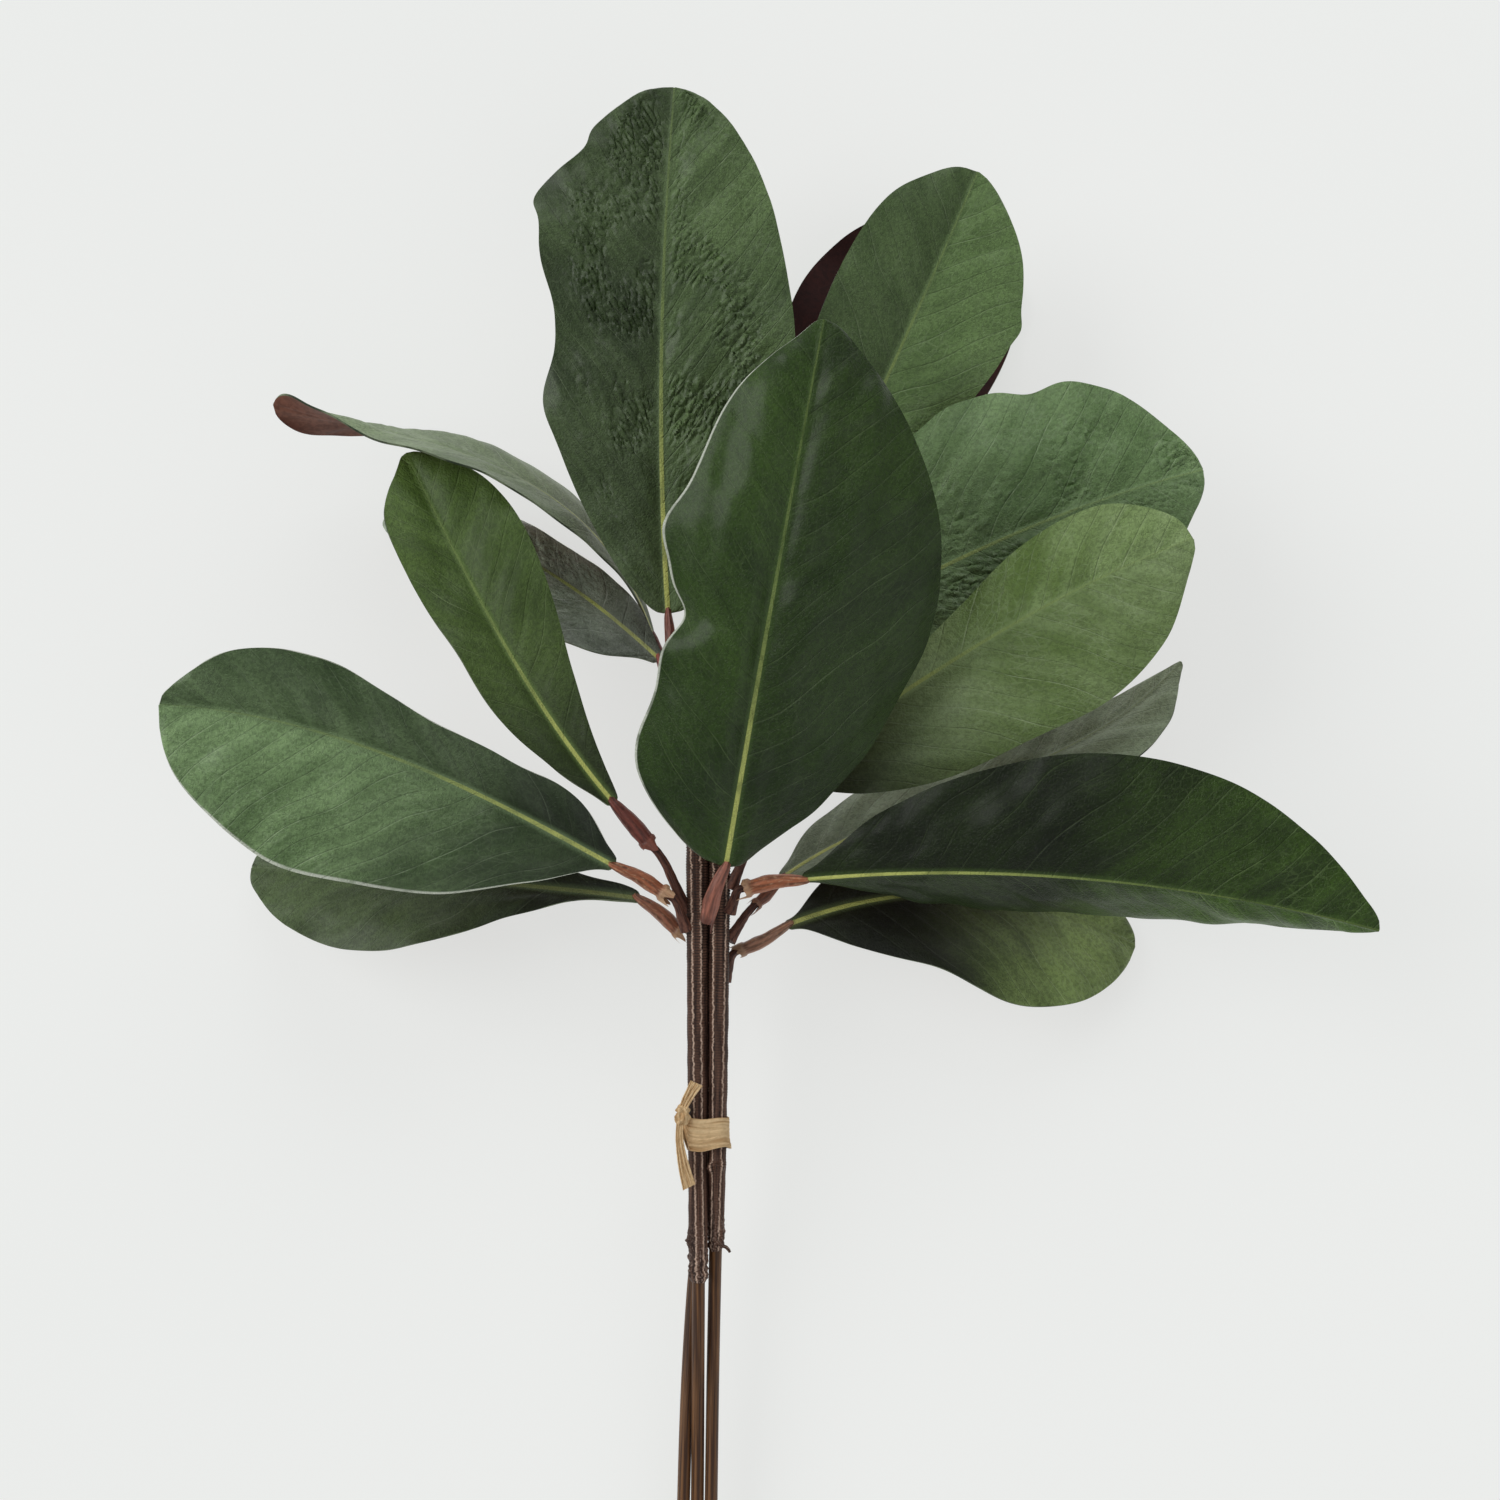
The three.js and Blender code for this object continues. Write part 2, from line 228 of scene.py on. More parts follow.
def ramp(tree, value, start, end, low=0.0, high=1.0):
    """value eased from low to high as it goes from start to end."""
    made = node(tree, "MapRange", {
        "Value": value, "From Min": start, "From Max": end, "To Min": low, "To Max": high,
    }, interpolation_type="SMOOTHSTEP")
    return made.outputs["Result"]


def math_node(tree, operation, *values):
    """One arithmetic step on sockets or numbers."""
    return node(tree, "Math", dict(enumerate(values)), operation=operation).outputs[0]


def times(tree, first, second):
    """Product of two sockets or numbers."""
    return math_node(tree, "MULTIPLY", first, second)


def along_grain(tree, chart, round_it, along_it, detail=3):
    """Noise that runs with a rolled piece: cells round it, and cells along it."""
    turns = node(tree, "SeparateXYZ", {0: node(tree, "UVMap", uv_map=chart).outputs[0]}).outputs
    turn = times(tree, turns[0], 2 * math.pi)
    x = times(tree, math_node(tree, "COSINE", turn), round_it)
    y = times(tree, math_node(tree, "SINE", turn), round_it)
    z = times(tree, turns[1], along_it)
    spot = node(tree, "CombineXYZ", {0: x, 1: y, 2: z}).outputs[0]
    return grain(tree, spot, 1, detail)


coating, tree, shader = finish("brown_coating", 0.45, 0.4)
where = node(tree, "TexCoord").outputs["Object"]
streak = along_grain(tree, "around", 2.2, 9, 4)
hair = along_grain(tree, "around", 9, 16, 3)
brown = mixed(tree, ramp(tree, streak, 0.36, 0.66), shade(64, 38, 20), shade(128, 88, 52))
brown = mixed(tree, ramp(tree, hair, 0.45, 0.7, 0, 0.6), brown, shade(60, 38, 24))
tree.links.new(brown, shader.inputs["Base Color"])
bump = node(tree, "Bump", {"Height": hair, "Strength": 0.4, "Distance": 0.0004})
tree.links.new(bump.outputs[0], shader.inputs["Normal"])

for side, points in STEMS.items():
    def wire(along, angle):
        groove = 0.05 * math.sin(3 * angle + 7 * along)
        return along, WIRE_RADIUS + groove + 0.05 * math.sin(23 * along + angle)

    settle(rolled(f"wire_{side}", points, wire, 90, 16), f"stem_{side}", "wire", coating)


# Tape. Crepe floral tape wound round each wire with the leaf wires laid in under it. The turns
# show as fine rings a millimetre apart, and the tape's edges as pale wavy lines down the stem.
RING_PITCH = 0.95
WRAPS = {
    # ends of the tape, radius at the foot, the tie and the top, the pale lines (degrees round
    # the stem at the foot and at the top), and lumps of loose tape: height, turn, size
    "left": dict(foot=-50, top=100, radius=(3.2, 3.2, 3.7), lines=((100, 124), (55, 75)),
                 lumps=((-48, 60, 0.9), (-45.5, 130, 0.8), (-43, 90, 0.5), (-36, 175, 1.0),
                        (-33, 150, 0.6))),
    "right": dict(foot=-40, top=98, radius=(2.65, 3.0, 3.6), lines=((70, 46), (124, 122)),
                  lumps=((-9.5, 100, 1.1), (-11, 140, 0.9), (-10, 60, 0.7), (-37, 60, 0.9),
                         (-34, 30, 0.7))),
    "rear": dict(foot=-45, top=96, radius=(3, 3, 3.4), lines=((90, 90), (200, 200)),
                 lumps=((-43, 90, 0.6),)),
}


def stretch(points, foot, top):
    """The part of a stem's line between two heights, then straight up to the top."""
    fine = [p for p in line_through(points, LINE_STEPS) if foot < p.y < points[-1][1]]
    return [Vector((fine[0].x, foot, fine[0].z)), *fine[6:-6:12],
            Vector((points[-1][0], top, points[-1][2]))]


def tape_tail(t, angle):
    """A torn end of tape, twisted to a point."""
    return t, 0.75 * (1 - 0.5 * t) + 0.2 * math.sin(3 * angle + 8 * t)


for side, wrap in WRAPS.items():
    foot, top, lines = wrap["foot"], wrap["top"], wrap["lines"]
    length = top - foot

    def tape(along, angle):
        high = along * length
        turn = math.degrees(angle)
        spot = Vector((math.cos(angle) * 1.4, high, math.sin(angle) * 1.4))
        radius = numpy.interp(foot + high, (foot, 0, top), wrap["radius"])
        ring = abs(math.sin(math.pi * high / RING_PITCH + 0.25 * math.sin(2 * angle)))
        strength = 0.08 + 0.26 * max(0, foot + high) / top
        rough = noise.noise(spot * Vector((1, 0.25, 1))) * 0.16
        frayed = math.exp(-((high - 5) / 6) ** 2) * noise.noise(spot * 0.8 + Vector((9, 0, 0)))
        knots = sum(size * math.exp(-((foot + high - at) / 1.5) ** 2 - ((turn - to) / 38) ** 2)
                    for at, to, size in wrap["lumps"])
        crumple = 1 + 0.9 * noise.noise(spot * 2.2)
        ridge = 0.0
        for low, upper in lines:
            sway = 9 * noise.noise(Vector((low, high / 2.4, 0)))
            off = abs(turn - low - (upper - low) * along + sway)
            ridge = max(ridge, math.exp(-(off / 6) ** 2))
        shut = min(1.0, 0.74 + high / 5)
        return along, (radius + strength * ring + rough + 0.16 * ridge + knots * crumple
                       + 0.8 * frayed) * shut

    crepe, tree, shader = finish(f"crepe_{side}", 0.6, 0.3)
    turns = node(tree, "SeparateXYZ", {0: node(tree, "UVMap", uv_map="around").outputs[0]}).outputs
    streak = along_grain(tree, "around", 3, 6, 4)
    fleck = along_grain(tree, "around", 7, 150, 3)
    wobble = along_grain(tree, "around", 0, 62, 2)
    shiver = along_grain(tree, "around", 0, 290, 2)
    brown = mixed(tree, ramp(tree, streak, 0.38, 0.64), shade(46, 28, 21), shade(112, 80, 64))
    brown = mixed(tree, ramp(tree, fleck, 0.42, 0.68, 0, 0.8), brown, shade(86, 60, 48))
    crumbled = times(tree, ramp(tree, turns[1], 0.16, 0.02), ramp(tree, fleck, 0.5, 0.66))
    brown = mixed(tree, times(tree, crumbled, 0.7), brown, shade(170, 146, 132))
    # Near-black rings beside the grooves between the turns, stronger toward the top: painted shade in
    # the grooves.
    rings = math_node(tree, "FRACT", times(tree, turns[1], length / RING_PITCH))
    higher = ramp(tree, turns[1], 0.3, 0.8, 0.35, 0.95)
    rings = times(tree, ramp(tree, rings, 0.55, 0.9), higher)
    brown = mixed(tree, rings, brown, shade(34, 24, 20))
    for low, upper in lines:
        start, rise = (low + 90) / 360, (upper - low) / 360
        middle = math_node(tree, "MULTIPLY_ADD", turns[1], rise, start - 0.035 - 0.03)
        middle = math_node(tree, "MULTIPLY_ADD", wobble, 0.07, middle)
        middle = math_node(tree, "MULTIPLY_ADD", shiver, 0.06, middle)
        off = math_node(tree, "ABSOLUTE", math_node(tree, "SUBTRACT", turns[0], middle))
        near = times(tree, ramp(tree, off, 0.02, 0.006), ramp(tree, fleck, 0.3, 0.52, 0.2, 1))
        brown = mixed(tree, near, brown, shade(204, 176, 156))
    tree.links.new(brown, shader.inputs["Base Color"])
    bump = node(tree, "Bump", {"Height": fleck, "Strength": 0.6, "Distance": 0.0004})
    tree.links.new(bump.outputs[0], shader.inputs["Normal"])
    coarse = 2 if side == "rear" else 4
    piece = rolled(f"tape_{side}", stretch(STEMS[side], foot, top), tape,
                   round(length * coarse / RING_PITCH), 48 if coarse == 4 else 24)
    if side == "right":
        torn = rolled("torn_end", [(2.9, -36, 0.4), (4.6, -37.6, 0.8), (6.3, -38.4, 0.6),
                                   (7.4, -39.8, 0.3)], tape_tail, 24, 12)
        piece.select_set(True)
        bpy.context.view_layer.objects.active = piece
        bpy.ops.object.join()
    settle(piece, f"wrap_{side}", "wrap", crepe)


# Twigs. Thin leaf wires in dark crepe tape, which leave the stems in pairs and run out to a
# moulded sleeve. Each is thicker where the stem's tape closes over it.
TWIG_RADIUS = 1.4
JOINTS = {
    # start on the stem (none where the sleeve sits on it), sleeve's foot, leaf's foot
    "top": ((-5.4, 102, 0.8), (-12, 158, -5), (-14, 178, -6)),
    "front": (None, (-0.5, 73, 7.4), (6, 92, 14)),
    "upper_right": ((2.6, 100, -1.6), (22, 170, -19), (28, 188, -22)),
    "back": ((2.6, 98, -8), (42, 191, -31), (49, 209, -34)),
    "right_upper": ((5.6, 100, 1.2), (22, 151, -12), (31, 167, -16)),
    "right_middle": ((8.4, 86, 1), (15.5, 103, 1), (23, 121, 0)),
    "right_rear": ((8.2, 68, -2.6), (16, 78, -6), (25, 87, -8)),
    "right_front": ((7.9, 78, 3), (12.5, 84, 5), (32, 87, 8)),
    "right_low": ((6, 54, -9.6), (10.5, 62, -8.5), (27, 71, -6)),
    "left_front": ((-8.2, 72, 3), (-14.5, 82, 6), (-32, 92, 8)),
    "left_low": (None, (-9.6, 68, -5.5), (-24, 80, -6)),
    "left_middle": ((-8.4, 78, 0), (-20, 99, 4), (-32, 113, 6)),
    "left_edge": ((-1.6, 98, -8.6), (-13, 152, -23), (-20, 171, -31)),
    "left_rear": ((-2.6, 102, -1.4), (-9, 143, -8), (-17, 162, -11)),
}

twig_tape, tree, shader = finish("twig_tape", 0.55, 0.35)
streak = along_grain(tree, "around", 2.5, 4, 4)
fleck = along_grain(tree, "around", 4, 30, 3)
brown = mixed(tree, ramp(tree, streak, 0.36, 0.64), shade(58, 32, 26), shade(122, 80, 64))
brown = mixed(tree, ramp(tree, fleck, 0.42, 0.7, 0, 0.6), brown, shade(70, 44, 36))
tree.links.new(brown, shader.inputs["Base Color"])
bump = node(tree, "Bump", {"Height": fleck, "Strength": 0.5, "Distance": 0.0003})
tree.links.new(bump.outputs[0], shader.inputs["Normal"])

for tail, (start, joint, foot) in JOINTS.items():
    if start is None:
        continue
    start, joint, foot = Vector(start), Vector(joint), Vector(foot)
    run = (foot - joint).normalized()
    end = joint + run * 2
    bend = joint - run * 0.3 * (joint - start).length
    into = (start - bend).normalized()

    def twig(along, angle):
        root = 0.9 * (1 - along) ** 4
        flat = 0.16 * math.cos(2 * angle + 3 * along) + 0.1 * math.cos(5 * angle)
        rough = noise.noise(Vector((math.cos(angle), along * 9 + joint.x, math.sin(angle))))
        return along, TWIG_RADIUS + root + flat + 0.16 * rough

    piece = rolled(f"shoot_{tail}", [start + into * 2.5, start - into * 1.5, bend, end], twig, 40, 16)
    settle(piece, f"twig_{tail}", "twig", twig_tape)


# Sleeves. Moulded soft plastic leaf stalks pushed over the twigs and glued to the leaf's foot:
# a ragged mouth with a collar, flat-sided ribs, and a thin neck that runs under the midrib.
SLEEVES = {
    # body colour, mouth colour, width of the body, width of the mouth, bow of the line
    "top": ((128, 70, 58), (160, 112, 88), 2.2, 2.5, (0, 0, 1)),
    "front": ((160, 100, 82), (104, 60, 48), 2.9, 2.5, (-0.8, 0, 1)),
    "upper_right": ((128, 70, 58), (160, 112, 88), 2.2, 2.5, (0, 0, 1)),
    "back": ((128, 70, 58), (160, 112, 88), 2.2, 2.5, (0, 0, 0)),
    "right_upper": ((128, 70, 58), (160, 112, 88), 2.2, 2.5, (0, 0, 1)),
    "right_middle": ((116, 64, 54), (140, 92, 74), 2.2, 2.5, (0, 0, 1)),
    "right_rear": ((126, 78, 60), (150, 108, 84), 2.1, 2.3, (0, -0.6, 0)),
    "right_front": ((166, 98, 64), (204, 164, 128), 2.8, 3.3, (0, 0.9, 0)),
    "right_low": ((148, 104, 80), (178, 142, 112), 2.4, 2.6, (0, -0.9, 0)),
    "left_front": ((156, 92, 62), (204, 166, 130), 2.6, 3.2, (0, 1.0, 0)),
    "left_low": ((146, 92, 68), (184, 146, 112), 2.7, 2.8, (0, 1.2, 0)),
    "left_middle": ((118, 62, 52), (140, 84, 68), 3.0, 3.2, (0.4, 0, 0.5)),
    "left_edge": ((132, 64, 56), (160, 112, 88), 2.2, 2.5, (0, 0, 1)),
    "left_rear": ((140, 68, 60), (170, 112, 92), 2.4, 2.7, (0, 0, 1)),
}

for tail, (body, mouth, wide, lip, bow) in SLEEVES.items():
    joint, foot = (Vector(p) for p in JOINTS[tail][1:])
    run = (foot - joint).normalized()

    def sleeve(t, angle):
        """Inside of the mouth, over its lip, then out along the body to the neck."""
        place_along = (0.1 - t) if t < 0.1 else (t - 0.1) / 0.9
        x, y = math.cos(angle) * 2, math.sin(angle) * 2
        rough = noise.noise(Vector((x, place_along * 5, y + joint.y)))
        if t < 0.07:
            return place_along, (lip - 0.7) * (0.35 + 9 * t) + 0.2 * rough
        ribs = 0.14 * abs(math.cos(2.5 * angle + 0.4)) + 0.08 * math.cos(7 * angle + 4 * place_along)
        swell = numpy.interp(place_along, (0, 0.03, 0.07, 0.11, 0.3, 0.6, 0.85, 1), (
            lip - 0.1, lip, lip, wide * 0.9, wide, wide * 0.84, wide * 0.66, wide * 0.42))
        ragged = 0.03 * noise.noise(Vector((math.cos(angle) * 1.5, joint.x, math.sin(angle) * 1.5)))
        edge = ragged if place_along < 0.1 else 0
        return place_along + edge, swell - 0.15 + ribs + 0.22 * rough

    middle = (joint + foot) / 2 + Vector(bow)
    end = foot + run * 1.6 - Vector((0, 0, 0.9))
    plastic, tree, shader = finish(f"moulded_{tail}", 0.45, 0.45)
    turns = node(tree, "SeparateXYZ", {0: node(tree, "UVMap", uv_map="around").outputs[0]}).outputs
    streak = along_grain(tree, "around", 1.6, 2.5, 4)
    fleck = along_grain(tree, "around", 4, 14, 3)
    skin = mixed(tree, ramp(tree, streak, 0.35, 0.66), shade(*(c * 0.66 for c in body)),
                 shade(*(min(255, c * 1.12) for c in body)))
    skin = mixed(tree, ramp(tree, fleck, 0.5, 0.72, 0, 0.5), skin, shade(*mouth))
    at_mouth = times(tree, ramp(tree, turns[1], 0.24, 0.1), ramp(tree, fleck, 0.3, 0.5, 0.4, 1))
    skin = mixed(tree, at_mouth, skin, shade(*mouth))
    # The inside of the mouth is made near black: painted shade in the hollow.
    inside = ramp(tree, turns[1], 0.085, 0.05)
    skin = mixed(tree, inside, skin, shade(34, 20, 16))
    tree.links.new(skin, shader.inputs["Base Color"])
    bump = node(tree, "Bump", {"Height": fleck, "Strength": 0.4, "Distance": 0.0004})
    tree.links.new(bump.outputs[0], shader.inputs["Normal"])
    settle(rolled(f"sleeve_{tail}", [joint, middle, foot, end], sleeve, 60, 26),
           f"petiole_{tail}", "petiole", plastic)


# Leaves. Each blade is one stamped piece of coated cloth, green above and rust brown below,
# with a fine yellow-green midrib, pressed side veins and a pale cut rim.
LEAVES = {
    # Half widths to the left and right of the midrib are in millimetres, seen from the good
    # side with the tip up. green is the dark and the light tone; on several leaves the light tone
    # is greyed, a painted sheen of the coat. pebble is how deep the stamped grain is, wave the
    # height, count and start of the margin's waves, and each bite is which side, where along, how
    # far out, how far up and how long, for a bulge or a notch. tones are painted light and shade:
    # how much lighter or darker the green is made at the foot, the tip, the left and the right, in
    # place of the shadows and the sheen that fall on each leaf, and turning is where along the
    # foot's shade gives way to the tip's. slant is how far the side veins sweep toward the tip,
    # valley how deep the midrib lies, and roll and billow are the heights of the swells along the
    # midrib and along the side veins. polish is the weight of the glossy coat, and rib how strongly
    # the midrib's colour shows.
    "top": dict(
        base=(-14, 178, -6), tip=(-12, 359, -12), face=(0.05, -0.05, 1), rise=(6, 8),
        sway=(-5, -4), fold=(6, 6), curl=(-14, -14), left=(10, 22, 34, 36, 43, 35, 17),
        right=(14, 33, 44, 46, 41, 31, 16), green=((46, 64, 30), (92, 114, 70)), gloss=0.34,
        tones=(0.95, 1.05, 0.85, 1.35), slant=1.25,
        pebble=1.0, wave=((1.5, 3, 0.1), (1.2, 2, 0.3)),
        bites=((-1, 0.4, 5, -2, 0.07), (-1, 0.78, 5, -7, 0.04), (-1, 0.87, -4, 2, 0.03),
               (-1, 0.58, -1.5, 3, 0.06))),
    "front": dict(
        base=(6, 92, 14), tip=(38, 270, 44), face=(0.05, 0.1, 1), rise=(14, 22), sway=(-1, -1),
        fold=(6, 6), curl=(-34, -34), left=(18, 35, 34, 35, 33, 25, 8),
        right=(11, 30, 46, 55, 51, 35, 14), green=((27, 50, 3), (58, 85, 27)), gloss=0.3,
        tones=(0.85, 1.0, 1.05, 0.8), slant=0.9, billow=0.9, polish=0.32, rib=0.9,
        valley=1.9, roll=1.5,
        pebble=0.35, pale_edge=-1, wave=((0.8, 2.2, 0.3), (0.8, 1.5, 0)),
        bites=((-1, 0.6, 6, 1, 0.06), (-1, 0.44, -6.5, -5, 0.045), (-1, 0.2, 1.5, 0, 0.06))),
    "upper_right": dict(
        base=(28, 188, -22), tip=(94, 334, -30), face=(0.25, 0.1, 1), rise=(6, 8), sway=(0, 0),
        fold=(8, 8), curl=(-16, -16), left=(5, 13, 22, 30, 31, 26, 13),
        right=(5, 13, 23, 30, 35, 28, 12), green=((66, 90, 44), (104, 130, 78)), gloss=0.45,
        tones=(0.95, 1.0, 0.8, 1.35), slant=1.0,
        pebble=0.1, wave=((0.8, 2, 0), (0.8, 2, 0.5)), bites=((1, 0.72, 1.5, 2, 0.03),)),
    "back": dict(
        base=(49, 209, -34), tip=(79, 332, -86.1), face=(0, 0.1, -1), rise=(8, 10), sway=(0, 0),
        fold=(8, 8), curl=(-20, -20), left=(8, 18, 30, 38, 43, 40, 20),
        right=(8, 17, 29, 39, 38, 28, 13), green=((48, 66, 32), (82, 104, 60)), gloss=0.5,
        pebble=0.3, wave=((1, 2, 0), (1, 2, 0.5))),
    "right_upper": dict(
        base=(31, 167, -16), tip=(171, 228, -18), face=(-0.05, 0.1, 1), rise=(6, 10),
        sway=(-6, -7), fold=(4, 10), curl=(-14, -20), left=(12, 27, 41, 48, 50, 37, 16),
        right=(10, 26, 36, 38, 36, 27, 12), green=((78, 106, 58), (124, 152, 102)), gloss=0.4,
        tones=(1.0, 1.1, 1.1, 0.95), slant=1.0,
        pebble=0.9, wave=((1.5, 2.5, 0.2), (1, 2, 0)),
        bites=((-1, 0.7, -5, -3, 0.06), (-1, 0.52, 2, 2, 0.06))),
    "right_middle": dict(
        base=(23, 121, 0), tip=(163, 202, 10), face=(-0.1, 0.25, 1), rise=(6, 10), sway=(-3, -7),
        fold=(25, 4), curl=(-18, -18), left=(3, 5, 7, 14, 22, 22, 12),
        right=(8, 22, 33, 37, 38, 29, 11), green=((88, 112, 52), (136, 158, 106)), gloss=0.45,
        tones=(0.25, 1.1, 1.3, 1.0), slant=1.0, turning=(0.1, 0.6),
        pebble=0.1, wave=((0.8, 1.5, 0), (1, 2, 0.4))),
    "right_rear": dict(
        base=(25, 87, -8), tip=(167, 162, -38), face=(-0.4, 0.9, 0.7), rise=(4, -14),
        sway=(-6, 14), fold=(8, 8), curl=(-16, -16), left=(6, 16, 24, 25, 19, 11, 4),
        right=(6, 18, 30, 32, 27, 18, 5), green=((88, 102, 76), (128, 142, 114)), gloss=0.4,
        tones=(1.1, 1.5, 1.2, 1.2), slant=1.2,
        pebble=0.2, wave=((1, 2, 0), (1.5, 2, 0))),
    "right_front": dict(
        base=(32, 87, 8), tip=(220, 72, 34), face=(0, -0.15, 1), rise=(14, 10), sway=(-14, -13),
        fold=(6, -45), curl=(-20, -20), left=(6, 21, 34, 42, 39, 25, 9),
        right=(4, 18, 28, 29, 23, 14, 6), green=((22, 38, 4), (60, 86, 28)), gloss=0.3,
        tones=(0.6, 2.6, 0.65, 1.15), slant=0.8, turning=(0.35, 0.95), billow=1.1, polish=0.15,
        valley=0.9, roll=1.0,
        pebble=0.3, wave=((1, 2, 0), (1.6, 3, 0.2))),
    "right_low": dict(
        base=(27, 71, -6), tip=(151, 61, -42.6), face=(0.1, 0.5, 0.8), rise=(6, 8),
        sway=(-18, -18), fold=(8, 8), curl=(-16, -16), left=(3, 12, 20, 26, 26, 20, 9),
        right=(4, 15, 26, 36, 41, 34, 19), green=((26, 38, 10), (108, 128, 72)), gloss=0.38,
        tones=(0.12, 1.7, 1.0, 1.0), slant=0.9, turning=(0.35, 0.8), billow=0.35,
        pebble=0.25, wave=((1, 2, 0), (1.6, 2.5, 0.3))),
    "left_front": dict(
        base=(-32, 92, 8), tip=(-180, 146, 30), face=(-0.1, 0.2, 1), rise=(8, 10), sway=(8, 15),
        fold=(4, 35), curl=(-16, -10), left=(5, 19, 36, 44, 46, 36, 22),
        right=(6, 15, 16, 18, 25, 23, 9), green=((50, 74, 34), (120, 146, 100)), gloss=0.38,
        tones=(0.35, 1.25, 1.32, 0.7), slant=0.9, billow=1.4, turning=(0.05, 0.75),
        pebble=0.3, pale_edge=-1, wave=((1.2, 2, 0.2), (1.2, 2, 0))),
    "left_low": dict(
        base=(-24, 80, -6), tip=(-163, 89, -42), face=(0, 0.4, 0.9), rise=(8, 0), sway=(0, 0),
        fold=(20, 20), curl=(-20, -20), left=(2, 4, 13, 27, 30, 23, 11),
        right=(4, 6, 14, 26, 30, 24, 11), green=((34, 50, 18), (98, 120, 74)), gloss=0.36,
        tones=(0.25, 0.95, 1.0, 1.0), rib=0.25, billow=1.2,
        pebble=0.3, wave=((1.5, 2.5, 0), (1, 2, 0))),
    "left_middle": dict(
        base=(-32, 113, 6), tip=(-105, 233, -14), face=(0.2, 0.15, 1), rise=(4, 6), sway=(-9, -4),
        fold=(25, 20), curl=(-15, -15), left=(4, 10, 16, 18, 20, 18, 6),
        right=(4, 8, 15, 22, 25, 21, 9), green=((60, 84, 26), (100, 128, 60)), gloss=0.45,
        tones=(0.3, 1.1, 1.0, 0.9), slant=1.1,
        pebble=0.1, wave=((1.4, 2, 0.3), (0.8, 2, 0))),
    "left_edge": dict(
        base=(-20, 171, -31), tip=(-153, 252, -28), face=(0.1, 1, 0.25), rise=(45, 15),
        sway=(0, 0), fold=(8, 8), curl=(-16, -16), left=(3, 7, 16, 26, 22, 14, 8),
        right=(5, 14, 26, 32, 30, 24, 12), twist=(0, 60, 8), green=((66, 82, 50), (114, 130, 96)),
        gloss=0.42, tones=(0.9, 1.5, 1.2, 1.2), pebble=0.2, wave=((1.5, 2, 0.2), (1, 2, 0))),
    "left_rear": dict(
        base=(-17, 162, -11), tip=(-118, 217, -69.6), face=(0.1, 0.9, 0.9), rise=(18, 18),
        sway=(0, 0), fold=(8, 8), curl=(-16, -16), left=(6, 19, 26, 25, 20, 15, 8),
        right=(4, 11, 15, 15, 13, 12, 7), green=((50, 60, 44), (120, 130, 114)), gloss=0.28,
        tones=(0.7, 3.4, 1.3, 1.1), turning=(0.1, 0.5),
        pebble=0.8, wave=((1, 2, 0), (1, 2, 0))),
}
FOOT_HALF_WIDTH = 1.6
BLADE_THICKNESS = 0.7
VEIN_SPACING = 10.5
RIDGE_HEIGHT, RIDGE_WIDTH = 0.45, 0.9  # the midrib
GUTTER_DEPTH, GUTTER_WIDTH = 0.5, 2.4  # the groove on both sides of it
VALLEY_WIDTH = 6
STAMP_DEPTH = 1.35
BLADE_MESH = (50, 144)
STAMPED_MESH = {"top": (150, 296), "right_upper": (104, 200), "left_rear": (84, 180)}
PEBBLE = (2.8, 3.3)  # along and across the leaf


def half_width(stations, s):
    """Half width at s through seven stations, spaced so that both ends come out round."""
    w = numpy.array([FOOT_HALF_WIDTH, *stations, 0, -stations[-1]], float)
    x = numpy.arccos(1 - 2 * numpy.clip(s, 0, 1)) / math.pi * 8
    i = numpy.minimum(7, x.astype(int))
    u = x - i
    before = numpy.where(i > 0, w[i - 1], 2 * w[0] - w[1])
    here, following, after = w[i], w[i + 1], w[i + 2]
    bend = 2 * before - 5 * here + 4 * following - after
    jerk = 3 * here - before - 3 * following + after
    return numpy.maximum(here + ((following - before) * u + bend * u ** 2 + jerk * u ** 3) / 2, 0.3)


def unit(a):
    """The vectors of an array, each made one unit long."""
    return a / numpy.linalg.norm(a, axis=-1, keepdims=True)


